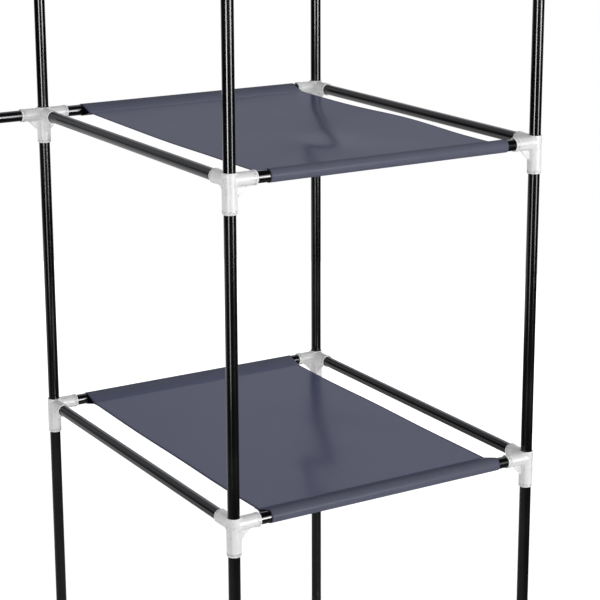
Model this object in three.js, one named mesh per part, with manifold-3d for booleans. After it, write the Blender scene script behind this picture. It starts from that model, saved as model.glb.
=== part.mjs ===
// Portable fabric wardrobe frame: a shelf column on the right and a hanging bay on the left,
// thin steel tubes pushed into moulded corner connectors, and fabric shelves carried by sleeves.
// Millimetres, +X to the right, +Y to the back, +Z up. The origin is on the floor, under the middle.

import * as THREE from 'three';
import { mergeVertices } from 'three/addons/utils/BufferGeometryUtils.js';
import Module from 'manifold-3d';

// Frame
const columnWidth = 385; // shelf column, between post centres
const bayWidth = 740; // hanging bay, between post centres
const frameDepth = 460; // front to back, between post centres
const shelfPitch = 368; // height from one level to the next
const levelNames = ['base', 'lower', 'middle', 'upper', 'top'];
const shelfLevels = ['lower', 'middle', 'upper'];
const railLevel = 'middle'; // the bay's back rail meets the column here

// Tubes
const tubeDiameter = 13;
const tubeWall = 0.6;
const fitClearance = 0.3; // room round a tube in its socket or sleeve, and at its end

// Moulded connectors
const socketWall = 1.15; // barrel, and the collar at an arm's mouth
const armWall = 0.75;
const collarWidth = 4.4;
const socketStop = 1.2; // plastic between the post's bore and the end of an arm's socket
const capWall = 1.8; // closed end under a base connector and over a top one
const armReach = 30; // post centre to the mouth of an arm
const barrelRise = 8.3; // level line to the upper mouth of the barrel
const barrelDrop = 34.7; // level line to the lower mouth of the barrel
const gussetThickness = 1.6;
const gussetReachShare = 0.96; // of the arm
const gussetDropShare = 0.8; // of the barrel below the level line

// Hanging rod fittings
const fittingLength = 38; // along the side tube that carries it
const fittingReach = 26; // side tube centre to the mouth of the rod's socket

// Fabric shelves
const fabricThickness = 0.45;
const fabricMargin = 42.5; // post centre to the side edge of the fabric
const hemDepth = 24; // tube centre to the line of stitching that closes a sleeve

// Facets
const roundSides = 12;
const mergeDistance = 0.0001; // corners nearer than this are one

const tubeRadius = tubeDiameter / 2;
const boreRadius = tubeRadius + fitClearance;
const socketRadius = boreRadius + socketWall;
const armRadius = boreRadius + armWall;
const tubeStart = boreRadius + socketStop + fitClearance;
const cutOverrun = 1; // how far a cutting shape runs past the face that it opens

const endX = -(bayWidth + columnWidth) / 2;
const midX = endX + bayWidth;
const rightX = midX + columnWidth;
const frontY = -frameDepth / 2;
const backY = frameDepth / 2;

const tubeMaterial = new THREE.MeshStandardMaterial({ color: 0x101012, roughness: 0.3, metalness: 0.4 });
const plasticMaterial = new THREE.MeshStandardMaterial({ color: 0xe4e4e4, roughness: 0.45, metalness: 0 });
const fabricMaterial = new THREE.MeshStandardMaterial({ color: 0x5c5e6d, roughness: 0.6, metalness: 0 });

const wasm = await Module();
wasm.setup();

const wardrobe = new THREE.Group();

// Solids and geometries

function toSolid(geometry) {
  const bare = geometry.clone();
  bare.deleteAttribute('normal');
  bare.deleteAttribute('uv');
  const merged = mergeVertices(bare, mergeDistance);
  return new wasm.Manifold(new wasm.Mesh({
    numProp: 3,
    vertProperties: new Float32Array(merged.attributes.position.array),
    triVerts: new Uint32Array(merged.index.array),
  }));
}

function toGeometry(solid) {
  const mesh = solid.getMesh();
  const geometry = new THREE.BufferGeometry();
  geometry.setAttribute('position', new THREE.BufferAttribute(new Float32Array(mesh.vertProperties), 3));
  geometry.setIndex(new THREE.BufferAttribute(new Uint32Array(mesh.triVerts), 1));
  geometry.computeVertexNormals();
  return geometry;
}

function addPiece(name, geometry, material, x, y, z) {
  const piece = new THREE.Mesh(geometry, material);
  piece.name = name;
  piece.position.set(x, y, z);
  wardrobe.add(piece);
}

function levelHeight(level) {
  return barrelDrop + levelNames.indexOf(level) * shelfPitch;
}

// Turns a shape made along +Y so that it points along the given direction.
const turns = {
  up: (geometry) => geometry.rotateX(Math.PI / 2),
  back: (geometry) => geometry,
  front: (geometry) => geometry.rotateX(Math.PI),
  right: (geometry) => geometry.rotateZ(-Math.PI / 2),
  left: (geometry) => geometry.rotateZ(Math.PI / 2),
};

function roundBar(radius, start, end, direction) {
  const geometry = new THREE.CylinderGeometry(radius, radius, end - start, roundSides);
  geometry.translate(0, (start + end) / 2, 0);
  return toSolid(turns[direction](geometry));
}

// Tubes

// A hollow tube along +Y from nothing to its length.
function tubeGeometry(length) {
  const wall = [
    [tubeRadius - tubeWall, 0],
    [tubeRadius, 0],
    [tubeRadius, length],
    [tubeRadius - tubeWall, length],
    [tubeRadius - tubeWall, 0],
  ];
  return new THREE.LatheGeometry(wall.map(([radius, along]) => new THREE.Vector2(radius, along)), roundSides);
}

function addTube(name, direction, span, x, y, z) {
  addPiece(name, turns[direction](tubeGeometry(span)), tubeMaterial, x, y, z);
}

// A tube between two sockets whose posts are the given distance apart.
function addSocketTube(name, direction, distance, x, y, z) {
  const along = direction === 'right' ? [tubeStart, 0] : [0, tubeStart];
  addTube(name, direction, distance - 2 * tubeStart, x + along[0], y + along[1], z);
}

// A post runs through its connectors, from the floor of the lowest to the roof of the highest.
function addPost(name, x, y) {
  const foot = capWall + fitClearance;
  const head = levelHeight('top') + barrelRise - capWall - fitClearance;
  addPiece(name, turns.up(tubeGeometry(head - foot)), tubeMaterial, x, y, foot);
}

// Connectors

// An arm from the connector's middle to its mouth, where it thickens to a collar.
function collaredArm(reach, direction) {
  const outline = [
    [0, 0],
    [armRadius, 0],
    [armRadius, reach - collarWidth],
    [socketRadius, reach - collarWidth],
    [socketRadius, reach],
    [0, reach],
  ];
  const points = outline.map(([across, along]) => new THREE.Vector2(across, along));
  return toSolid(turns[direction](new THREE.LatheGeometry(points, roundSides)));
}

// The web in the corner under an arm, a right triangle from the crossing of the two axes.
function gusset(direction) {
  const corner = new THREE.Shape([
    new THREE.Vector2(0, 0),
    new THREE.Vector2(-barrelDrop * gussetDropShare, 0),
    new THREE.Vector2(0, armReach * gussetReachShare),
  ]);
  const web = new THREE.ExtrudeGeometry(corner, { depth: gussetThickness, bevelEnabled: false });
  web.translate(0, 0, -gussetThickness / 2);
  web.rotateY(-Math.PI / 2);
  const headings = { back: 0, left: Math.PI / 2, front: Math.PI, right: -Math.PI / 2 };
  return toSolid(web.rotateZ(headings[direction]));
}

// Arms is a list of directions. A closed end is 'under' at the base, 'over' at the top, or 'none'.
function connectorGeometry(arms, closedEnd) {
  let body = roundBar(socketRadius, -barrelDrop, barrelRise, 'up');
  let bores = roundBar(
    boreRadius,
    closedEnd === 'under' ? capWall - barrelDrop : -barrelDrop - cutOverrun,
    closedEnd === 'over' ? barrelRise - capWall : barrelRise + cutOverrun,
    'up',
  );
  for (const arm of arms) {
    body = body.add(collaredArm(armReach, arm)).add(gusset(arm));
    bores = bores.add(roundBar(boreRadius, boreRadius + socketStop, armReach + cutOverrun, arm));
  }
  return toGeometry(body.subtract(bores));
}

function addConnector(name, level, arms, x, y) {
  const closedEnd = { base: 'under', top: 'over' }[level] ?? 'none';
  addPiece(name, connectorGeometry(arms, closedEnd), plasticMaterial, x, y, levelHeight(level));
}

// Fabric shelves

// The section of a shelf from front to back: a flat sheet whose two ends go round a tube each and
// are stitched to its underside, which leaves a drop-shaped sleeve at either end.
function shelfGeometry() {
  const halfThickness = fabricThickness / 2;
  // The outside half of a circle round a tube, from its top to its underside.
  const wrap = (radius, centre, side) => {
    const points = [];
    for (let step = 0; step <= roundSides / 2; step += 1) {
      const angle = Math.PI / 2 + (2 * Math.PI * step) / roundSides;
      points.push(new THREE.Vector2(centre + side * radius * Math.cos(angle), radius * Math.sin(angle)));
    }
    return points;
  };
  const frontStitch = hemDepth;
  const backStitch = frameDepth - hemDepth;
  const outerRadius = boreRadius + fabricThickness;
  const section = new THREE.Shape([
    ...wrap(outerRadius, 0, 1),
    new THREE.Vector2(frontStitch, -halfThickness),
    new THREE.Vector2(backStitch, -halfThickness),
    ...wrap(outerRadius, frameDepth, -1).reverse(),
    new THREE.Vector2(backStitch, halfThickness),
    new THREE.Vector2(frontStitch, halfThickness),
  ]);
  section.holes.push(
    new THREE.Path([...wrap(boreRadius, 0, 1), new THREE.Vector2(frontStitch - fabricThickness * 2, 0)]),
    new THREE.Path([...wrap(boreRadius, frameDepth, -1), new THREE.Vector2(backStitch + fabricThickness * 2, 0)]),
  );
  const width = columnWidth - 2 * fabricMargin;
  const shelf = new THREE.ExtrudeGeometry(section, { depth: width, bevelEnabled: false });
  const sectionToFrame = new THREE.Matrix4().makeBasis(
    new THREE.Vector3(0, 1, 0),
    new THREE.Vector3(0, 0, 1),
    new THREE.Vector3(1, 0, 0),
  );
  return shelf.applyMatrix4(sectionToFrame);
}

// Hanging rod

// A top side tube with its moulded rod fitting pressed on at the middle of its length.
function fittedSideTubeGeometry(length, rodDirection) {
  const tubeOutside = roundBar(tubeRadius, 0, length, 'back');
  const sleeve = roundBar(socketRadius, (length - fittingLength) / 2, (length + fittingLength) / 2, 'back');
  const socket = collaredArm(fittingReach, rodDirection).translate(0, length / 2, 0);
  const socketBore = roundBar(boreRadius, tubeRadius + socketStop, fittingReach + cutOverrun, rodDirection);
  const tubeBore = roundBar(tubeRadius - tubeWall, -cutOverrun, length + cutOverrun, 'back');
  const cuts = socketBore.translate(0, length / 2, 0).add(tubeBore);
  return toGeometry(tubeOutside.add(sleeve).add(socket).subtract(cuts));
}

function addFittedSideTube(name, rodDirection, x) {
  const geometry = fittedSideTubeGeometry(frameDepth - 2 * tubeStart, rodDirection);
  addPiece(name, geometry, tubeMaterial, x, frontY + tubeStart, levelHeight('top'));
}

// The wardrobe

const posts = {
  end_front: [endX, frontY],
  end_back: [endX, backY],
  mid_front: [midX, frontY],
  mid_back: [midX, backY],
  right_front: [rightX, frontY],
  right_back: [rightX, backY],
};
for (const [place, [x, y]] of Object.entries(posts)) addPost(`${place}_post`, x, y);

// Shelf column: four connectors, a front and a back tube and two side tubes on every level.
for (const level of levelNames) {
  const z = levelHeight(level);
  const bayFront = level === 'top' ? ['left'] : [];
  const bayBack = level === 'top' || level === railLevel ? ['left'] : [];
  addConnector(`${level}_mid_front_connector`, level, ['right', 'back', ...bayFront], midX, frontY);
  addConnector(`${level}_mid_back_connector`, level, ['right', 'front', ...bayBack], midX, backY);
  addConnector(`${level}_right_front_connector`, level, ['left', 'back'], rightX, frontY);
  addConnector(`${level}_right_back_connector`, level, ['left', 'front'], rightX, backY);
  addSocketTube(`${level}_front_tube`, 'right', columnWidth, midX, frontY, z);
  addSocketTube(`${level}_back_tube`, 'right', columnWidth, midX, backY, z);
  addSocketTube(`${level}_right_side_tube`, 'back', frameDepth, rightX, frontY, z);
  if (level !== 'top') addSocketTube(`${level}_mid_side_tube`, 'back', frameDepth, midX, frontY, z);
}
for (const level of shelfLevels) {
  addPiece(`${level}_shelf`, shelfGeometry(), fabricMaterial, midX + fabricMargin, frontY, levelHeight(level));
}

// Hanging bay: an end frame, two top tubes, the back rail and the rod.
const topZ = levelHeight('top');
addConnector('base_end_front_connector', 'base', ['back'], endX, frontY);
addConnector('base_end_back_connector', 'base', ['front'], endX, backY);
addConnector('rail_end_back_connector', railLevel, ['right'], endX, backY);
addConnector('top_end_front_connector', 'top', ['right', 'back'], endX, frontY);
addConnector('top_end_back_connector', 'top', ['right', 'front'], endX, backY);
addSocketTube('base_end_side_tube', 'back', frameDepth, endX, frontY, levelHeight('base'));
addSocketTube('bay_top_front_tube', 'right', bayWidth, endX, frontY, topZ);
addSocketTube('bay_top_back_tube', 'right', bayWidth, endX, backY, topZ);
addSocketTube('bay_back_rail', 'right', bayWidth, endX, backY, levelHeight(railLevel));
addFittedSideTube('top_end_side_tube', 'right', endX);
addFittedSideTube('top_mid_side_tube', 'left', midX);
const rodStart = tubeRadius + socketStop + fitClearance;
addTube('hanging_rod', 'right', bayWidth - 2 * rodStart, endX + rodStart, 0, topZ);

export default wardrobe;
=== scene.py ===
# Portable fabric wardrobe: the looks of the tube frame, its moulded connectors and its fabric shelves.
# Metres, +X to the right, +Y to the back, +Z up, the origin on the floor under the middle.

import math

import bmesh
import bpy
from mathutils import Matrix, Vector


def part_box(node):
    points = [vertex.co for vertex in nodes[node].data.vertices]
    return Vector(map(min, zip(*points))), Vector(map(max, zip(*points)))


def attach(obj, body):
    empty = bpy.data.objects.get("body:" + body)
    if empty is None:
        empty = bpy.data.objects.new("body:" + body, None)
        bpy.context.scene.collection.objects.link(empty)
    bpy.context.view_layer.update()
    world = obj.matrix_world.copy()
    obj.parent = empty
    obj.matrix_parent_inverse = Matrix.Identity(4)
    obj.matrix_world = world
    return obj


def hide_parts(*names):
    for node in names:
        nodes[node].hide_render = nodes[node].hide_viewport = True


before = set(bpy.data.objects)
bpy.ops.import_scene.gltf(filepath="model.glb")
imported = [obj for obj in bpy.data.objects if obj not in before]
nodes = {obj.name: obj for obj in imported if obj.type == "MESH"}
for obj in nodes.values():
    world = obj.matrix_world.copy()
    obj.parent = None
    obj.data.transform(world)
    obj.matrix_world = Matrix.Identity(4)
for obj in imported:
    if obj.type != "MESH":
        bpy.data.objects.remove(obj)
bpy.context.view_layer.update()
print("frame loaded:", len(nodes), "nodes")


# Camera

cameraSettings = {
    "place": (-0.7071, -1.8295, 1.1563),
    "turn": (75.88, 0.19, -31.196),  # degrees about X, Y and Z
    "lens": 112.05,
    "sensor": 36,
    "shiftY": -0.08,
    "clipStart": 0.05,
}


def addCamera():
    data = bpy.data.cameras.new("camera")
    data.lens = cameraSettings["lens"]
    data.sensor_width = cameraSettings["sensor"]
    data.shift_y = cameraSettings["shiftY"]
    data.clip_start = cameraSettings["clipStart"]
    camera = bpy.data.objects.new("camera", data)
    bpy.context.scene.collection.objects.link(camera)
    camera.location = cameraSettings["place"]
    camera.rotation_euler = [math.radians(angle) for angle in cameraSettings["turn"]]
    bpy.context.scene.camera = camera


addCamera()
print("camera ready")


# Shader maths

class Signal:
    # A socket of a node, with arithmetic: an expression on it adds its Math nodes.

    def __init__(self, graph, socket):
        self.graph = graph
        self.socket = socket

    def combine(self, operation, left, right):
        return self.graph.add("ShaderNodeMath", {"operation": operation}, {0: left, 1: right})

    def __add__(self, other):
        return self.combine("ADD", self, other)

    def __radd__(self, other):
        return self.combine("ADD", other, self)

    def __sub__(self, other):
        return self.combine("SUBTRACT", self, other)

    def __rsub__(self, other):
        return self.combine("SUBTRACT", other, self)

    def __mul__(self, other):
        return self.combine("MULTIPLY", self, other)

    def __rmul__(self, other):
        return self.combine("MULTIPLY", other, self)

    def __truediv__(self, other):
        return self.combine("DIVIDE", self, other)

    def __pow__(self, other):
        return self.combine("POWER", self, other)


class Graph:
    # The node tree of a material or of the world.

    def __init__(self, tree):
        self.tree = tree
        self.tree.nodes.clear()

    def add(self, kind, settings=None, inputs=None, output=0):
        node = self.tree.nodes.new(kind)
        for name, value in (settings or {}).items():
            setattr(node, name, value)
        for key, value in (inputs or {}).items():
            if isinstance(value, Signal):
                self.tree.links.new(value.socket, node.inputs[key])
            else:
                node.inputs[key].default_value = value
        return Signal(self, node.outputs[output]) if len(node.outputs) else node

    def position(self):
        return self.add("ShaderNodeTexCoord", output="Object")

    def split(self, vector):
        parts = self.add("ShaderNodeSeparateXYZ", inputs={0: vector}).socket.node
        return [Signal(self, socket) for socket in parts.outputs]

    def sine(self, value):
        return self.add("ShaderNodeMath", {"operation": "SINE"}, {0: value})

    def size(self, value):
        return self.add("ShaderNodeMath", {"operation": "ABSOLUTE"}, {0: value})

    def noise(self, vector, scale, detail=2.0, roughness=0.5):
        inputs = {"Vector": vector, "Scale": scale, "Detail": detail, "Roughness": roughness}
        return self.add("ShaderNodeTexNoise", inputs=inputs)

    def fade(self, value, start, end):
        # 0 at start, 1 at end, smooth in between; start may be the larger
        settings = {"interpolation_type": "SMOOTHSTEP"}
        inputs = {"Value": value, "From Min": start, "From Max": end}
        return self.add("ShaderNodeMapRange", settings, inputs)

    def stretch(self, vector, scale):
        return self.add("ShaderNodeMapping", inputs={"Vector": vector, "Scale": scale})

    def mixColours(self, factor, first, second):
        # the colour sockets of a Mix node are its seventh and eighth
        return self.add("ShaderNodeMix", {"data_type": "RGBA"}, {0: factor, 6: first, 7: second}, output=2)

    def bump(self, height, distance, strength=1.0):
        inputs = {"Height": height, "Distance": distance, "Strength": strength}
        return self.add("ShaderNodeBump", inputs=inputs)

    def attribute(self, name, output="Fac"):
        # a number or a vector kept on the mesh's points
        return self.add("ShaderNodeAttribute", {"attribute_name": name}, output=output)

    def rays(self):
        # 1 on rays that the camera sends, through glass too, and 1 on mirrored rays
        node = self.add("ShaderNodeLightPath").socket.node
        camera, through, glossy = (Signal(self, node.outputs[name])
                                   for name in ("Is Camera Ray", "Is Transmission Ray", "Is Glossy Ray"))
        return camera + through, glossy


def newMaterial(name):
    material = bpy.data.materials.new(name)
    material.use_nodes = True
    return material, Graph(material.node_tree)


def finishMaterial(graph, inputs):
    shader = graph.add("ShaderNodeBsdfPrincipled", inputs=inputs)
    graph.add("ShaderNodeOutputMaterial", inputs={"Surface": shader})


def grey(value):
    return (value, value, value, 1.0)


# Materials

enamelSettings = {
    "black": (0.0022, 0.0022, 0.0027, 1.0),
    "dust": (0.008, 0.008, 0.009, 1.0),
    "dustShare": 0.5,  # on handled and on scuffed places
    "roughness": 0.14,
    "handledRoughness": 0.06,
    "scuffedRoughness": 0.10,
    "ior": 1.46,
    "cloud": {"scale": 9.0, "detail": 4.0},  # where hands have been
    "handled": (0.42, 0.72),  # from this value of the cloud to that
    "peel": {"scale": 900.0, "detail": 2.0},  # waves of the baked paint, per metre
    "peelHeight": 0.00000025,
    "scratchStretch": (900.0, 900.0, 22.0),
    "scratch": {"scale": 1.0, "detail": 3.0, "roughness": 0.65},
    "scuffed": (0.66, 0.78),
}


def makeBlackEnamel():
    settings = enamelSettings
    material, graph = newMaterial("blackEnamel")
    place = graph.position()
    handled = graph.fade(graph.noise(place, **settings["cloud"]), *settings["handled"])
    scratches = graph.noise(graph.stretch(place, settings["scratchStretch"]), **settings["scratch"])
    scuffed = graph.fade(scratches, *settings["scuffed"]) * handled
    peel = graph.noise(place, **settings["peel"])
    dusty = handled * settings["dustShare"] + scuffed * settings["dustShare"]
    finishMaterial(graph, {
        "Base Color": graph.mixColours(dusty, settings["black"], settings["dust"]),
        "Roughness": (settings["roughness"] + handled * settings["handledRoughness"]
                      + scuffed * settings["scuffedRoughness"]),
        "IOR": settings["ior"],
        "Normal": graph.bump(peel, settings["peelHeight"]),
    })
    return material


plasticSettings = {
    "pale": (0.87, 0.87, 0.87, 1.0),
    # the darker end of the plastic's clouds of tone and of the painted shade in streaks
    "cloudyAndShaded": (0.74, 0.74, 0.74, 1.0),
    "ribShade": (0.46, 0.47, 0.47, 1.0),  # painted shade of the ribs in a mouth, seen through its wall
    # a painted highlight: the paler ring at each mouth's edge
    "rimHighlight": (0.95, 0.95, 0.95, 1.0),
    "rimHighlightWidth": 0.0009,
    "ribStart": 0.0014,  # from the mouth
    "ribFade": 0.0036,
    "ribEnd": 0.0052,
    "stopWidth": 0.0007,
    "ribShadeShare": 0.8,
    "stopShadeShare": 0.6,
    "roughness": 0.30,
    "grainRoughness": 0.10,
    "ior": 1.49,
    "specularLevel": 0.34,
    "depthWeight": 0.25,  # light that enters the plastic
    "depth": (0.004, 0.004, 0.004),
    "clouds": {"scale": 70.0, "detail": 5.0, "roughness": 0.6},
    "cloudShare": 0.4,
    # painted shade in streaks along each arm and barrel
    "streakShade": {"scale": 300.0, "detail": 1.0},
    "streakShadeShare": 0.6,
    "cloudsAndShade": (0.45, 0.64),  # from this value of the clouds and streaks to that
    "ribs": {"scale": 600.0, "detail": 1.0},
    "ribbing": (0.44, 0.58),
    "grain": {"scale": 1500.0, "detail": 2.0},
    "webAlpha": 0.09,  # of each face of a thin web
    "firstLevel": 0.0347,  # height of the base level's arms
    "pitch": 0.368,
    "seamHalfWidth": 0.00022,
    # heights of the skin's forms, as shares of the relief
    "relief": 0.00012,
    "reliefStrength": 0.5,
    "grainHeight": 0.10,
    "cloudHeight": 0.6,
    "ribHeight": 1.2,
}


def makeWhitePlastic(name, alpha):
    settings = plasticSettings
    material, graph = newMaterial(name)
    place = graph.position()
    _, _, z = graph.split(place)
    # soft clouds of tone in the translucent plastic, and painted shade in streaks along each arm and
    # barrel where the dark tube inside shows through the wall
    clouds = graph.noise(place, **settings["clouds"])
    streakShade = graph.noise(graph.attribute("section", "Vector"), **settings["streakShade"])
    cloudsAndStreakShade = clouds * settings["cloudShare"] + streakShade * settings["streakShadeShare"]
    cloudsAndShade = graph.fade(cloudsAndStreakShade, *settings["cloudsAndShade"])
    # the mould parts in the plane of the arms, which leaves a fine ridge round each connector
    fromLevel = graph.add("ShaderNodeMath", {"operation": "PINGPONG"},
                          {0: z - settings["firstLevel"], 1: settings["pitch"] / 2})
    seam = graph.fade(graph.size(fromLevel), settings["seamHalfWidth"], 0.0)
    grain = graph.noise(place, **settings["grain"])
    fromMouth = graph.attribute("fromMouth")
    inMouth = (graph.fade(fromMouth, settings["rimHighlightWidth"], settings["ribStart"])
               * graph.fade(fromMouth, settings["ribEnd"], settings["ribFade"]))
    ribs = graph.fade(graph.noise(place, **settings["ribs"]), *settings["ribbing"]) * inMouth
    # painted highlight: a paler ring along each mouth's edge
    rimHighlight = graph.fade(fromMouth, settings["ribStart"], settings["rimHighlightWidth"])
    # painted shade: a faint dark line where the ring inside that the tubes stop at shows through
    stop = graph.fade(graph.attribute("fromStop"), settings["stopWidth"], 0.0) * cloudsAndShade
    # painted shade of the ribs and of the stop ring inside, laid over the plastic's colour
    shade = ribs * settings["ribShadeShare"] + stop * settings["stopShadeShare"]
    body = graph.mixColours(cloudsAndShade, settings["pale"], settings["cloudyAndShaded"])
    plain = graph.mixColours(rimHighlight, body, settings["rimHighlight"])
    height = (seam + grain * settings["grainHeight"] + clouds * settings["cloudHeight"]
              + ribs * settings["ribHeight"])
    finishMaterial(graph, {
        "Base Color": graph.mixColours(shade, plain, settings["ribShade"]),
        "Roughness": settings["roughness"] + grain * settings["grainRoughness"],
        "IOR": settings["ior"],
        "Specular IOR Level": settings["specularLevel"],
        "Subsurface Weight": settings["depthWeight"],
        "Subsurface Radius": settings["depth"],
        "Subsurface Scale": 1.0,
        "Alpha": alpha,
        "Normal": graph.bump(height, settings["relief"], settings["reliefStrength"]),
    })
    return material


fabricSettings = {
    "slate": (0.105, 0.110, 0.153, 1.0),
    "worn": (0.112, 0.117, 0.159, 1.0),
    "flatShade": (0.052, 0.060, 0.137, 1.0),  # the flat part, painted darker and bluer than the sleeves: painted shade on its upper face, under the light that its coating mirrors
    "flatShadeShare": 0.8,
    "cutEdge": (0.030, 0.030, 0.046, 1.0),
    "roughness": 0.6,
    "mottleRoughness": 0.10,
    "coatingRoughness": 0.06,
    "coatWeight": 0.44,
    "sleeveCoat": 0.10,  # shares of the coat's weight
    "flatCoat": 0.80,
    "coatingSpread": 0.2,
    "coatRoughness": 0.22,
    "length": 0.5704,
    "sleeveEnd": 0.058,  # along the cloth, where the coating and the flat part's painted shade start to show
    "flatStart": 0.082,
    "halfWidth": 0.150,
    "edgeBead": 0.0014,
    "threadPitch": 0.00055,
    "slub": {"scale": 1.0, "detail": 2.0},
    "slubsAlong": 420.0,  # per metre along a thread
    "slubsAcross": 2600.0,  # per metre across the threads
    "mottle": {"scale": 26.0, "detail": 5.0, "roughness": 0.62},
    "mottled": (0.35, 0.68),
    "coating": {"scale": 150.0, "detail": 3.0},
    # heights of the threads, as shares of the relief
    "relief": 0.00005,
    "reliefStrength": 0.5,
    "weaveHeight": 0.5,
    "slubHeight": 0.6,
}


def makeSlateFabric():
    settings = fabricSettings
    material, graph = newMaterial("slateFabric")
    path = graph.add("ShaderNodeUVMap", {"uv_map": "cut"})
    across, along, _ = graph.split(path)
    # plain weave: the two sets of threads rise in turn
    turn = math.pi / settings["threadPitch"]
    weave = graph.sine(across * turn) * graph.sine(along * turn)
    run, side = settings["slubsAlong"], settings["slubsAcross"]
    weftSlubs = graph.noise(graph.stretch(path, (run, side, 1.0)), **settings["slub"])
    warpSlubs = graph.noise(graph.stretch(path, (side, run, 1.0)), **settings["slub"])
    mottle = graph.noise(path, **settings["mottle"])
    coating = graph.noise(path, **settings["coating"])
    fromEdge = settings["halfWidth"] - graph.size(across)
    bead = graph.fade(fromEdge, settings["edgeBead"], 0.0)
    fromEnd = settings["length"] / 2 - graph.size(along - settings["length"] / 2)
    flat = graph.fade(fromEnd, settings["sleeveEnd"], settings["flatStart"])
    bare = graph.mixColours(graph.fade(mottle, *settings["mottled"]), settings["slate"], settings["worn"])
    # painted shade: the flat part darker and bluer than the sleeves
    cloth = graph.mixColours(flat * settings["flatShadeShare"], bare, settings["flatShade"])
    height = (weave * settings["weaveHeight"] + weftSlubs * settings["slubHeight"]
              + warpSlubs * settings["slubHeight"])
    finishMaterial(graph, {
        "Base Color": graph.mixColours(bead, cloth, settings["cutEdge"]),
        "Roughness": (settings["roughness"] + (mottle - 0.5) * settings["mottleRoughness"]
                      + (coating - 0.5) * settings["coatingRoughness"]),
        "Specular IOR Level": 0.0,
        "Coat Weight": settings["coatWeight"] * (
            settings["sleeveCoat"] + flat * (settings["flatCoat"] + coating * settings["coatingSpread"])),
        "Coat Roughness": settings["coatRoughness"],
        "Normal": graph.bump(height, settings["relief"], settings["reliefStrength"]),
    })
    return material


threadSettings = {
    "dark": (0.050, 0.054, 0.086, 1.0),
    "light": (0.085, 0.090, 0.130, 1.0),
    "twistStretch": (2400.0, 2400.0, 2400.0),
    "twist": {"scale": 1.0, "detail": 2.0},
    "roughness": 0.55,
    "twistRoughness": 0.2,
    "relief": 0.00006,
    "reliefStrength": 0.6,
}


def makeSlateThread():
    settings = threadSettings
    material, graph = newMaterial("slateThread")
    twist = graph.noise(graph.stretch(graph.position(), settings["twistStretch"]), **settings["twist"])
    finishMaterial(graph, {
        "Base Color": graph.mixColours(twist, settings["dark"], settings["light"]),
        "Roughness": settings["roughness"] + twist * settings["twistRoughness"],
        "Normal": graph.bump(twist, settings["relief"], settings["reliefStrength"]),
    })
    return material


blackEnamel = makeBlackEnamel()
whitePlastic = makeWhitePlastic("whitePlastic", 1.0)
thinPlastic = makeWhitePlastic("thinPlastic", plasticSettings["webAlpha"])
slateFabric = makeSlateFabric()
slateThread = makeSlateThread()
print("materials ready")


# Pieces

def linkPiece(name, mesh, materials, replaced=()):
    # a piece's object stays at the origin, and its place is in its mesh
    mesh.materials.clear()
    for material in materials:
        mesh.materials.append(material)
    mesh.polygons.foreach_set("use_smooth", [True] * len(mesh.polygons))
    piece = bpy.data.objects.new(name, mesh)
    bpy.context.scene.collection.objects.link(piece)
    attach(piece, "root")
    if replaced:
        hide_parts(*replaced)
    return piece


def meshFrom(bm, name):
    bmesh.ops.recalc_face_normals(bm, faces=bm.faces)
    mesh = bpy.data.meshes.new(name)
    bm.to_mesh(mesh)
    bm.free()
    return mesh


def boxCentre(node):
    low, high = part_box(node)
    return (low + high) / 2


def longAxis(node):
    low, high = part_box(node)
    span = high - low
    return max(range(3), key=lambda axis: span[axis])


mergeDistance = 1e-7
tolerance = 1e-6  # two lengths that differ by less are the same
# turns a shape made along +Z so that it points along X, Y or Z
turnToAxis = [
    Matrix.Rotation(math.pi / 2, 4, "Y"),
    Matrix.Rotation(-math.pi / 2, 4, "X"),
    Matrix.Identity(4),
]


def spinSection(bm, points, steps, closed):
    # points are (radius, height); an open section starts and ends on the axis
    verts = [bm.verts.new((radius, 0, height)) for radius, height in points]
    pairs = list(zip(verts, verts[1:] + verts[:1])) if closed else list(zip(verts, verts[1:]))
    edges = [bm.edges.new(pair) for pair in pairs]
    bmesh.ops.spin(bm, geom=verts + edges, cent=(0, 0, 0), axis=(0, 0, 1),
                   angle=2 * math.pi, steps=steps, use_merge=True)
    bmesh.ops.remove_doubles(bm, verts=bm.verts, dist=mergeDistance)


# Steel tubes

tubeSettings = {
    "radius": 0.0065,
    "wall": 0.0006,
    "sides": 48,
    "rimRound": 0.00018,
    "rimSegments": 3,
    "rimSupport": 0.0012,  # keeps the rim's shading off the long wall
}


# the two top side tubes that carry the rod's fittings: the post over which they lie, and the rod's side
fittedTubes = {
    "top_end_side_tube": ("end_front_post", "right"),
    "top_mid_side_tube": ("mid_front_post", "left"),
}


def axisPlace(node):
    # the middle of a tube's axis, whose box may be widened by its fitting
    middle = boxCentre(node)
    if node in fittedTubes:
        post, _ = fittedTubes[node]
        middle[0] = boxCentre(post)[0]
    return middle


def tubeMesh(node):
    low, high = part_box(node)
    axis = longAxis(node)
    half = (high[axis] - low[axis]) / 2
    outer = tubeSettings["radius"]
    inner = outer - tubeSettings["wall"]
    support = half - tubeSettings["rimSupport"]
    bm = bmesh.new()
    section = [(inner, -half), (outer, -half), (outer, -support), (outer, support),
               (outer, half), (inner, half), (inner, support), (inner, -support)]
    spinSection(bm, section, tubeSettings["sides"], closed=True)
    rims = [edge for edge in bm.edges
            if all(abs(abs(vert.co.z) - half) < tolerance for vert in edge.verts)
            and abs(edge.verts[0].co.to_2d().length - edge.verts[1].co.to_2d().length) < tolerance]
    bmesh.ops.bevel(bm, geom=rims, offset=tubeSettings["rimRound"], offset_type="OFFSET",
                    affect="EDGES", segments=tubeSettings["rimSegments"], profile=0.5, material=-1)
    place = Matrix.Translation(axisPlace(node))
    bmesh.ops.transform(bm, matrix=place @ turnToAxis[axis], verts=bm.verts)
    return meshFrom(bm, node + "_steel")


tubeNodes = sorted(name for name in nodes if name.endswith(("_post", "_tube", "_rail", "_rod")))


def addTubes():
    for node in tubeNodes:
        linkPiece(node + "_steel", tubeMesh(node), [blackEnamel], [node])


addTubes()
print("tubes:", len(tubeNodes))


# Moulded connectors

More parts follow.
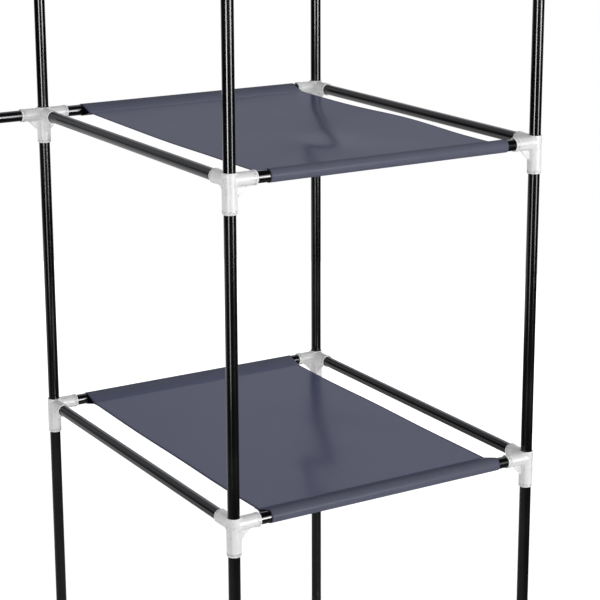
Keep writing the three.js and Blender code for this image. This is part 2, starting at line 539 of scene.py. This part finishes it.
connectorSettings = {
    "outer": 0.00795,
    "armOuter": 0.00755,
    "collarWidth": 0.0044,  # the thicker rim at an arm's mouth
    "stopDrop": 0.0132,  # the ring that the post's tubes stop at, below the arms
    "bore": 0.0068,
    "reach": 0.030,  # post centre to an arm's mouth
    "rise": 0.0083,
    "drop": 0.0347,
    "cap": 0.0018,
    "stop": 0.0012,
    "gussetHalfThickness": 0.00080,
    "gussetReachShare": 0.93,
    "gussetDropShare": 0.80,
    "lipRound": 0.0005,
    "boreFlare": 0.00028,
    "cornerShare": 0.3,  # how far the middle point of a rounded corner stands in
    "voxel": 0.0005,
    "smoothing": 2,
    "smoothingFactor": 0.5,
    "sharpAngle": 40,
    "sides": 64,
    "overrun": 0.001,
    "webMargin": 0.0006,
    "nearShare": 1.1,  # of the outer radius: points this near an axis are on that arm or barrel
    "streakPlace": 0.05,  # along each axis, so that no two arms have the same streaks
    "farAway": 1.0,  # kept on points that are on no arm or barrel
}
headings = {"right": 0, "back": math.pi / 2, "left": math.pi, "front": -math.pi / 2}


def layAlong(heading):
    # turns a shape made along +Z so that it lies along a heading in the level plane
    return Matrix.Rotation(headings[heading], 4, "Z") @ turnToAxis[0]


def addTurned(bm, section, turn):
    # a closed round shape along +Z from a section of (radius, height), added to bm
    piece = bmesh.new()
    spinSection(piece, section, connectorSettings["sides"], closed=False)
    bmesh.ops.transform(piece, matrix=turn, verts=piece.verts)
    part = meshFrom(piece, "turned")
    bm.from_mesh(part)
    bpy.data.meshes.remove(part)


def addBarrel(bm, start, end, turn):
    radius, lip = connectorSettings["outer"], connectorSettings["lipRound"]
    inset = lip * connectorSettings["cornerShare"]
    addTurned(bm, [(0, start), (radius - lip, start), (radius - inset, start + inset),
                   (radius, start + lip), (radius, end - lip), (radius - inset, end - inset),
                   (radius - lip, end), (0, end)], turn)


def addArm(bm, reach, turn):
    settings = connectorSettings
    arm, collar, lip = settings["armOuter"], settings["outer"], settings["lipRound"]
    inset = lip * settings["cornerShare"]
    step = collar - arm
    shoulder = reach - settings["collarWidth"]
    addTurned(bm, [(0, 0), (arm, 0), (arm, shoulder - step), (collar, shoulder), (collar, reach - lip),
                   (collar - inset, reach - inset), (collar - lip, reach), (0, reach)], turn)


def addGusset(bm, heading):
    # the thin web in the corner under an arm
    settings = connectorSettings
    half = settings["gussetHalfThickness"]
    corners = [(0, -half, 0), (0, -half, -settings["drop"] * settings["gussetDropShare"]),
               (settings["reach"] * settings["gussetReachShare"], -half, 0)]
    face = bm.faces.new([bm.verts.new(corner) for corner in corners])
    made = bmesh.ops.extrude_face_region(bm, geom=[face])
    moved = [item for item in made["geom"] if isinstance(item, bmesh.types.BMVert)]
    bmesh.ops.translate(bm, verts=moved, vec=(0, 2 * half, 0))
    bmesh.ops.transform(bm, matrix=Matrix.Rotation(headings[heading], 4, "Z"),
                        verts=list(set(moved) | set(face.verts)))


def addBore(bm, start, end, turn, flares):
    # a cutting bar along +Z that widens a little where it leaves the plastic
    settings = connectorSettings
    radius, flare, overrun = settings["bore"], settings["boreFlare"], settings["overrun"]
    corner = flare * settings["cornerShare"]
    bottom = [(0, start - overrun), (radius + flare, start - overrun), (radius + flare, start),
              (radius + corner, start + corner), (radius, start + flare)]
    top = [(radius, end - flare), (radius + corner, end - corner), (radius + flare, end),
           (radius + flare, end + overrun), (0, end + overrun)]
    section = (bottom if "start" in flares else [(0, start), (radius, start)])
    section = section + (top if "end" in flares else [(radius, end), (0, end)])
    addTurned(bm, section, turn)


def applyModifiers(mesh, build):
    # runs modifiers on a mesh and returns the new one
    holder = bpy.data.objects.new("holder", mesh)
    bpy.context.scene.collection.objects.link(holder)
    build(holder)
    graph = bpy.context.evaluated_depsgraph_get()
    result = bpy.data.meshes.new_from_object(holder.evaluated_get(graph))
    bpy.data.objects.remove(holder)
    return result


def blendForms(mesh):
    # one skin over the joined forms, with the small fillets that a mould has
    def build(holder):
        remesh = holder.modifiers.new("skin", "REMESH")
        remesh.mode = "VOXEL"
        remesh.voxel_size = connectorSettings["voxel"]
        smooth = holder.modifiers.new("fillets", "SMOOTH")
        smooth.factor = connectorSettings["smoothingFactor"]
        smooth.iterations = connectorSettings["smoothing"]
    return applyModifiers(mesh, build)


def cutBores(mesh, cutterMesh):
    cutter = bpy.data.objects.new("cutter", cutterMesh)
    bpy.context.scene.collection.objects.link(cutter)

    def build(holder):
        cut = holder.modifiers.new("bores", "BOOLEAN")
        cut.operation = "DIFFERENCE"
        cut.solver = "EXACT"
        cut.object = cutter
    result = applyModifiers(mesh, build)
    bpy.data.objects.remove(cutter)
    return result


def mouldedMesh(forms, bores):
    skin = blendForms(meshFrom(forms, "forms"))
    mesh = cutBores(skin, meshFrom(bores, "bores"))
    mesh.set_sharp_from_angle(angle=math.radians(connectorSettings["sharpAngle"]))
    return mesh


def offAxis(point, axis):
    # distance from a line through the origin
    return (point - axis * point.dot(axis)).length


def markMouths(mesh, mouths, stopHeight):
    # keeps how far each point is from the nearest mouth and from the stop of the post's tubes,
    # and its place across the arm or barrel that it is on, which is the same all along it;
    # mouths are (direction out of the mouth, its distance from the middle)
    near = connectorSettings["outer"] * connectorSettings["nearShare"]
    streakPlace, farAway = connectorSettings["streakPlace"], connectorSettings["farAway"]
    fromMouth = mesh.attributes.new("fromMouth", "FLOAT", "POINT")
    fromStop = mesh.attributes.new("fromStop", "FLOAT", "POINT")
    section = mesh.attributes.new("section", "FLOAT_VECTOR", "POINT")
    for vert in mesh.vertices:
        axis = min((axis for axis, _ in mouths), key=lambda axis: offAxis(vert.co, axis))
        section.data[vert.index].vector = vert.co - axis * vert.co.dot(axis) + axis * streakPlace
        gaps = [abs(reach - vert.co.dot(axis)) for axis, reach in mouths
                if offAxis(vert.co, axis) < near]
        fromMouth.data[vert.index].value = min(gaps, default=farAway)
        inBarrel = vert.co.to_2d().length < near
        fromStop.data[vert.index].value = abs(vert.co.z - stopHeight) if inBarrel else farAway


def markWebs(mesh, arms):
    # faces clear of the barrel and of every arm belong to the thin webs
    settings = connectorSettings
    axes = [layAlong(arm) @ Vector((0, 0, 1)) for arm in arms]
    for face in mesh.polygons:
        middle = face.center
        clear = middle.to_2d().length > settings["outer"] + settings["webMargin"] and all(
            offAxis(middle, axis) > settings["armOuter"] + settings["webMargin"] for axis in axes)
        face.material_index = int(clear and middle.z < 0)


def connectorMesh(arms, closedEnd):
    settings = connectorSettings
    top, bottom = settings["rise"], -settings["drop"]
    forms = bmesh.new()
    upright = Matrix.Identity(4)
    addBarrel(forms, bottom, top, upright)
    bores = bmesh.new()
    boreStart = bottom + settings["cap"] if closedEnd == "under" else bottom
    boreEnd = top - settings["cap"] if closedEnd == "over" else top
    flares = {"under": ["end"], "over": ["start"], "none": ["start", "end"]}[closedEnd]
    addBore(bores, boreStart, boreEnd, upright, flares)
    for arm in arms:
        addArm(forms, settings["reach"], layAlong(arm))
        addGusset(forms, arm)
        addBore(bores, settings["bore"] + settings["stop"], settings["reach"], layAlong(arm), ["end"])
    mesh = mouldedMesh(forms, bores)
    mouths = [(layAlong(arm) @ Vector((0, 0, 1)), settings["reach"]) for arm in arms]
    markMouths(mesh, mouths + [(Vector((0, 0, -1)), settings["drop"])], -settings["stopDrop"])
    markWebs(mesh, arms)
    return mesh


def armsOf(node):
    # an arm is there where the node's box reaches out from its post
    low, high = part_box(node)
    place = node.replace("rail_", "middle_").split("_")
    post = boxCentre(f"{place[1]}_{place[2]}_post")
    far = connectorSettings["reach"] / 2
    sides = {"right": high[0] - post[0], "left": post[0] - low[0],
             "back": high[1] - post[1], "front": post[1] - low[1]}
    return tuple(side for side, reach in sides.items() if reach > far), post


connectorNodes = sorted(name for name in nodes if name.endswith("_connector"))


def addConnectors():
    made = {}
    for node in connectorNodes:
        arms, post = armsOf(node)
        closedEnd = {"base": "under", "top": "over"}.get(node.split("_")[0], "none")
        if (arms, closedEnd) not in made:
            made[arms, closedEnd] = connectorMesh(arms, closedEnd)
        mesh = made[arms, closedEnd].copy()
        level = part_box(node)[0][2] + connectorSettings["drop"]
        mesh.transform(Matrix.Translation((post[0], post[1], level)))
        linkPiece(node.replace("_connector", "_moulding"), mesh, [whitePlastic, thinPlastic],
                  [node])
    print("connectors:", len(connectorNodes), "of", len(made), "shapes")


addConnectors()


# Hanging rod fittings

fittingSettings = {
    "length": 0.038,
    "reach": 0.026,
}


def addRodFittings():
    settings = connectorSettings
    half = fittingSettings["length"] / 2
    along = turnToAxis[1]
    for node, (_, heading) in fittedTubes.items():
        forms = bmesh.new()
        addBarrel(forms, -half, half, along)
        addArm(forms, fittingSettings["reach"], layAlong(heading))
        bores = bmesh.new()
        addBore(bores, -half, half, along, ["start", "end"])
        addBore(bores, settings["bore"] + settings["stop"], fittingSettings["reach"],
                layAlong(heading), ["end"])
        mesh = mouldedMesh(forms, bores)
        # a fitting has no stop for a post's tubes
        markMouths(mesh, [(layAlong(heading) @ Vector((0, 0, 1)), fittingSettings["reach"])],
                   settings["farAway"])
        mesh.transform(Matrix.Translation((axisPlace(node)[0], 0, boxCentre("hanging_rod")[2])))
        name = node.replace("side_tube", "rod_fitting")
        linkPiece(name, mesh, [whitePlastic], [node])


addRodFittings()
print("rod fittings ready")


# Fabric shelves

shelfSettings = {
    "levels": ["lower", "middle", "upper"],
    "thickness": 0.00045,
    "sleeveRadius": 0.00705,  # middle of the cloth round a tube
    "stitchLine": 0.024,  # from the tube's centre
    "hemEnd": 0.031,
    "layerGap": 0.00055,
    "sag": 0.0016,  # at the free side edges
    "sagMiddle": 0.55,  # share of it in the middle of the width
    # slow waves of the stretched cloth: height, length across, length along, share of the phase
    "waves": [(0.00034, 0.17, 0.30, 1.0), (0.00024, 0.13, -0.22, 1.7)],
    "phase": {"lower": 0.8, "middle": 2.7, "upper": 4.6},
    # slack places: height, x and y from the sheet's middle, width, length, turn of the length
    "slack": [(0.0040, 0.1023, -0.0955, 0.0732, 0.1870, -0.540),
              (-0.0040, -0.0198, -0.1260, 0.0248, 0.0638, -0.166),
              (0.0033, -0.0728, -0.1707, 0.0220, 0.0658, -0.507),
              (0.0035, 0.0489, -0.0568, 0.0361, 0.1023, -0.527)],
    # how much of the slack each sheet has
    "slackShare": {"lower": 0.4, "middle": 1.0, "upper": -0.5},
    # how far each sheet has slid to the right on its front tube and on its back tube
    "slide": {"lower": (0.0, 0.0015), "middle": (0.0018, 0.0070), "upper": (0.0010, 0.0)},
    "columns": 100,
    "sleeveSteps": 16,
    "slopeSteps": 8,
    "flatSteps": 130,
}


def sleevePoints(settings):
    # (y from the tube, z) from the hem's end under the sheet, round the tube, to the stitching
    radius, stitch, gap = settings["sleeveRadius"], settings["stitchLine"], settings["layerGap"]
    # the straight slopes leave the tube where they touch it
    touch = math.acos(radius / stitch)
    points = [(settings["hemEnd"], -gap), ((settings["hemEnd"] + stitch) / 2, -gap)]
    under = (radius * math.cos(touch), -radius * math.sin(touch))
    for step in range(settings["slopeSteps"]):
        share = step / settings["slopeSteps"]
        points.append((stitch + (under[0] - stitch) * share, -gap + (under[1] + gap) * share))
    for step in range(settings["sleeveSteps"] + 1):
        angle = -touch - (2 * math.pi - 2 * touch) * step / settings["sleeveSteps"]
        points.append((radius * math.cos(angle), radius * math.sin(angle)))
    for step in range(1, settings["slopeSteps"]):
        share = step / settings["slopeSteps"]
        points.append((under[0] + (stitch - under[0]) * share, -under[1] * (1 - share)))
    return points


def shelfPath(front, back, settings):
    sleeve = sleevePoints(settings)
    start, end = front + settings["stitchLine"], back - settings["stitchLine"]
    steps = settings["flatSteps"]
    flat = [(start + (end - start) * step / steps, 0) for step in range(steps + 1)]
    return [(front + y, z) for y, z in sleeve] + flat + [(back - y, z) for y, z in reversed(sleeve)]


def slackRise(x, y):
    total = 0.0
    for height, middleX, middleY, width, length, turn in shelfSettings["slack"]:
        across = (x - middleX) * math.cos(turn) + (y - middleY) * math.sin(turn)
        along = (y - middleY) * math.cos(turn) - (x - middleX) * math.sin(turn)
        total += height * math.exp(-(across / width) ** 2 - (along / length) ** 2)
    return total


def sheetRise(x, y, half, depth, level):
    # height of the stretched sheet: a slight sag, slow waves and slack, gone at the stitching
    settings = shelfSettings
    phase, middle = settings["phase"][level], settings["sagMiddle"]
    held = max(0.0, 1 - (y / depth) ** 2)
    sag = -settings["sag"] * held * (middle + (1 - middle) * (x / half) ** 2)
    waves = sum(height * math.sin(2 * math.pi * (x / across + y / along) + phase * turn)
                for height, across, along, turn in settings["waves"])
    return sag + held * (waves + settings["slackShare"][level] * slackRise(x, y))


def layCloth(path, left, right, height):
    # a level sheet with the section of the path, its flat cut as a UV map, and its length
    columns = shelfSettings["columns"]
    bm = bmesh.new()
    travelled = bm.verts.layers.float.new("travelled")
    uv = bm.loops.layers.uv.new("cut")
    row = []
    length = 0.0
    for index, (y, z) in enumerate(path):
        if index:
            length += math.dist(path[index - 1], (y, z))
        vert = bm.verts.new((left, y, height + z))
        vert[travelled] = length
        row.append(vert)
    edges = [bm.edges.new(pair) for pair in zip(row, row[1:])]
    for _ in range(columns):
        made = bmesh.ops.extrude_edge_only(bm, edges=edges)
        edges = [item for item in made["geom"] if isinstance(item, bmesh.types.BMEdge)]
        verts = [item for item in made["geom"] if isinstance(item, bmesh.types.BMVert)]
        bmesh.ops.translate(bm, verts=verts, vec=((right - left) / columns, 0, 0))
    for face in bm.faces:
        for loop in face.loops:
            loop[uv].uv = (loop.vert.co.x - (left + right) / 2, loop.vert[travelled])
    return bm, length


def addShelf(level):
    settings = shelfSettings
    node = level + "_shelf"
    low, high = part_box(node)
    middle = (low[0] + high[0]) / 2
    front = boxCentre(level + "_front_tube")[1]
    back = boxCentre(level + "_back_tube")[1]
    height = boxCentre(level + "_front_tube")[2]

    def slideAt(y):
        frontSlide, backSlide = settings["slide"][level]
        return frontSlide + (backSlide - frontSlide) * (y - front) / (back - front)

    bm, length = layCloth(shelfPath(front, back, settings), low[0], high[0], height)
    depth = (back - front) / 2 - settings["stitchLine"]
    half = (high[0] - low[0]) / 2
    for vert in bm.verts:
        vert.co.x += slideAt(vert.co.y)
        y = vert.co.y - (front + back) / 2
        if abs(y) < depth:
            vert.co.z += sheetRise(vert.co.x - middle, y, half, depth, level)
    cloth = linkPiece(node + "_cloth", meshFrom(bm, node), [slateFabric], [node])
    wall = cloth.modifiers.new("thickness", "SOLIDIFY")
    wall.thickness = settings["thickness"]
    wall.offset = 0.0
    threads = [addStitching(level, side, y, height, low[0] + slideAt(y), high[0] + slideAt(y))
               for side, y in (("front", front + settings["stitchLine"]),
                               ("back", back - settings["stitchLine"]))]
    return length


stitchSettings = {
    "length": 0.0032,
    "gap": 0.0008,
    "radius": 0.00022,
    "edgeMargin": 0.003,
    "lift": 0.00030,
    "sides": 6,
    "rings": 5,
}


def addStitching(level, side, y, height, left, right):
    settings = stitchSettings
    bm = bmesh.new()
    pitch = settings["length"] + settings["gap"]
    count = int((right - left - 2 * settings["edgeMargin"]) / pitch)
    start = (left + right) / 2 - count * pitch / 2
    for index in range(count):
        made = bmesh.ops.create_uvsphere(bm, u_segments=settings["sides"], v_segments=settings["rings"],
                                         radius=settings["radius"])
        stretch = Matrix.Diagonal((settings["length"] / 2 / settings["radius"], 1, 1, 1))
        place = Matrix.Translation((start + (index + 0.5) * pitch, y, height + settings["lift"]))
        bmesh.ops.transform(bm, matrix=place @ stretch, verts=made["verts"])
    return linkPiece(f"{level}_shelf_{side}_stitching", meshFrom(bm, "stitching"), [slateThread])


for level in shelfSettings["levels"]:
    clothLength = addShelf(level)
print("shelves ready, cloth length", round(clothLength, 4))


# Light, floor and background

keyLight = {"place": (2.3, -2.6, 1.6), "aim": (0.35, 0.0, 0.75), "size": (2.0, 1.6), "power": 27.0}
# softboxes that only draw the bright lines on the enamel and the plastic
softboxes = [
    {"name": "leftStrip", "place": (-1.02, -1.20, 0.92), "aim": (0.25, -0.15, 0.92),
     "size": (0.36, 1.00), "radiance": 25.0},
    {"name": "leftLowStrip", "place": (-1.02, -1.20, 0.235), "aim": (0.25, -0.15, 0.235),
     "size": (0.36, 0.37), "radiance": 9.0},
    {"name": "rightStrip", "place": (1.62, -2.63, 0.375), "aim": (0.25, -0.15, 0.375),
     "size": (0.55, 0.75), "radiance": 15.0},
    {"name": "farPanel", "place": (3.45, -7.31, 1.13), "aim": (0.2, 0.0, 0.75),
     "size": (2.53, 2.33), "radiance": 27.0},
    {"name": "railPanel", "place": (1.30, -7.31, 2.20), "aim": (-0.2, 0.0, 0.75),
     "size": (1.90, 2.00), "radiance": 36.0},
    {"name": "highPanel", "place": (3.45, -7.31, 3.30), "aim": (0.2, 0.0, 0.75),
     "size": (2.53, 1.90), "radiance": 8.0},
]


def aimAt(place, aim):
    return (Vector(aim) - Vector(place)).to_track_quat("-Z", "Y").to_euler()


def addAreaLight(name, place, aim, size, power):
    data = bpy.data.lights.new(name, "AREA")
    data.shape = "RECTANGLE"
    data.size, data.size_y = size
    data.energy = power
    light = bpy.data.objects.new(name, data)
    bpy.context.scene.collection.objects.link(light)
    light.location = place
    light.rotation_euler = aimAt(place, aim)
    return light


def addLights():
    key = addAreaLight("keyLight", keyLight["place"], keyLight["aim"], keyLight["size"], keyLight["power"])
    key.visible_glossy = False
    for box in softboxes:
        width, height = box["size"]
        power = box["radiance"] * math.pi * width * height
        light = addAreaLight(box["name"], box["place"], box["aim"], box["size"], power)
        light.visible_diffuse = False
        light.visible_camera = False


# X, Y and Z below are parts of a direction of length 1, and two of them are where a fade starts and ends
roomSettings = {
    "fill": 1.12,  # light on matt surfaces from the horizon
    "zenith": 0.40,  # share of it from above
    "fillHeights": (0.85, 0.15),  # Z from which the light grows, and Z where it is full
    "behind": 0.70,  # share of it from behind
    "fillDepths": (0.4, -0.4),  # Y
    # the pale sweep that mirrors see behind
    "mirrorTint": (0.92, 0.93, 0.99, 1.0),
    "horizonGlow": 0.21,
    "lowGlow": 0.82,  # more of it under the horizon
    "lowHeights": (-0.01, -0.06),
    "highGlow": 0.35,  # more of it over the horizon
    "highHeights": (0.01, 0.12),
    "cornerGlow": 0.75,  # more of it high on the right
    "cornerHeights": (0.22, 0.34),
    "cornerSides": (0.28, 0.44),  # X
    "leftEnd": (-0.66, -0.36),
    "rightEnd": (0.95, 0.65),
    "frontEnd": (-0.05, 0.35),
}


def addWorld():
    settings = roomSettings
    world = bpy.data.worlds.new("studio")
    bpy.context.scene.world = world
    world.use_nodes = True
    graph = Graph(world.node_tree)
    seen, glossy = graph.rays()
    x, y, z = graph.split(graph.add("ShaderNodeTexCoord", output="Generated"))
    # the sweep is dim along the horizon and ends at both sides, and the room in front of it is dark
    corner = graph.fade(z, *settings["cornerHeights"]) * graph.fade(x, *settings["cornerSides"])
    sweep = (settings["horizonGlow"] + graph.fade(z, *settings["lowHeights"]) * settings["lowGlow"]
             + graph.fade(z, *settings["highHeights"]) * settings["highGlow"]
             + corner * settings["cornerGlow"])
    width = graph.fade(x, *settings["leftEnd"]) * graph.fade(x, *settings["rightEnd"])
    mirrored = sweep * width * graph.fade(y, *settings["frontEnd"])
    # matt surfaces get most of their light from the horizon and the front
    zenith, behind = settings["zenith"], settings["behind"]
    fill = (settings["fill"] * (zenith + graph.fade(z, *settings["fillHeights"]) * (1 - zenith))
            * (behind + graph.fade(y, *settings["fillDepths"]) * (1 - behind)))
    level = seen + (1 - seen) * (glossy * mirrored + (1 - glossy) * fill)
    colour = graph.mixColours(glossy, grey(1.0), settings["mirrorTint"])
    background = graph.add("ShaderNodeBackground", inputs={"Color": colour, "Strength": level})
    graph.add("ShaderNodeOutputWorld", inputs={"Surface": background})


floorSettings = {
    "radius": 2.6,
    "sides": 96,
    "colour": 0.80,
    "bounce": 0.22,  # more of its light on matt surfaces
    "glow": 0.60,  # what the camera sees on top of the lit floor
    "edgeGlow": 0.35,  # more of it towards the edge, which then melts into the backdrop
    "edge": (0.3, 0.8),  # shares of the radius
    # what mirrors see of it
    "mirrorGlow": 0.03,
    "mirrorMiddleGlow": 0.3,
    "mirrorMiddle": (0.5, 0.2),  # shares of the radius
    "mirrorBackGlow": 0.92,
    "mirrorBack": (0.3, 1.4),  # Y
}


def addFloor():
    settings = floorSettings
    bm = bmesh.new()
    bmesh.ops.create_circle(bm, cap_ends=True, segments=settings["sides"], radius=settings["radius"])
    mesh = meshFrom(bm, "floor")
    floor = bpy.data.objects.new("floor", mesh)
    bpy.context.scene.collection.objects.link(floor)
    material, graph = newMaterial("paleFloor")
    seen, glossy = graph.rays()
    matt = graph.add("ShaderNodeBsdfDiffuse", inputs={"Color": grey(settings["colour"])})
    x, y, _ = graph.split(graph.position())
    fromMiddle = (x * x + y * y) ** 0.5 / settings["radius"]
    level = settings["glow"] + graph.fade(fromMiddle, *settings["edge"]) * settings["edgeGlow"]
    bounce = (1 - seen) * settings["bounce"]
    glow = graph.add("ShaderNodeEmission", inputs={"Color": grey(1.0), "Strength": seen * level + bounce})
    lit = graph.add("ShaderNodeAddShader", inputs={0: matt, 1: glow})
    # mirrors see it pale behind and dark in front, as they see the room
    inMirrors = (settings["mirrorGlow"]
                 + graph.fade(fromMiddle, *settings["mirrorMiddle"]) * settings["mirrorMiddleGlow"]
                 + graph.fade(y, *settings["mirrorBack"]) * settings["mirrorBackGlow"])
    mirrored = graph.add("ShaderNodeEmission", inputs={"Color": grey(1.0), "Strength": inMirrors})
    surface = graph.add("ShaderNodeMixShader", inputs={0: glossy, 1: lit, 2: mirrored})
    graph.add("ShaderNodeOutputMaterial", inputs={"Surface": surface})
    mesh.materials.append(material)


addLights()
addWorld()
addFloor()
bpy.context.scene.view_settings.view_transform = "Standard"
print("studio ready")
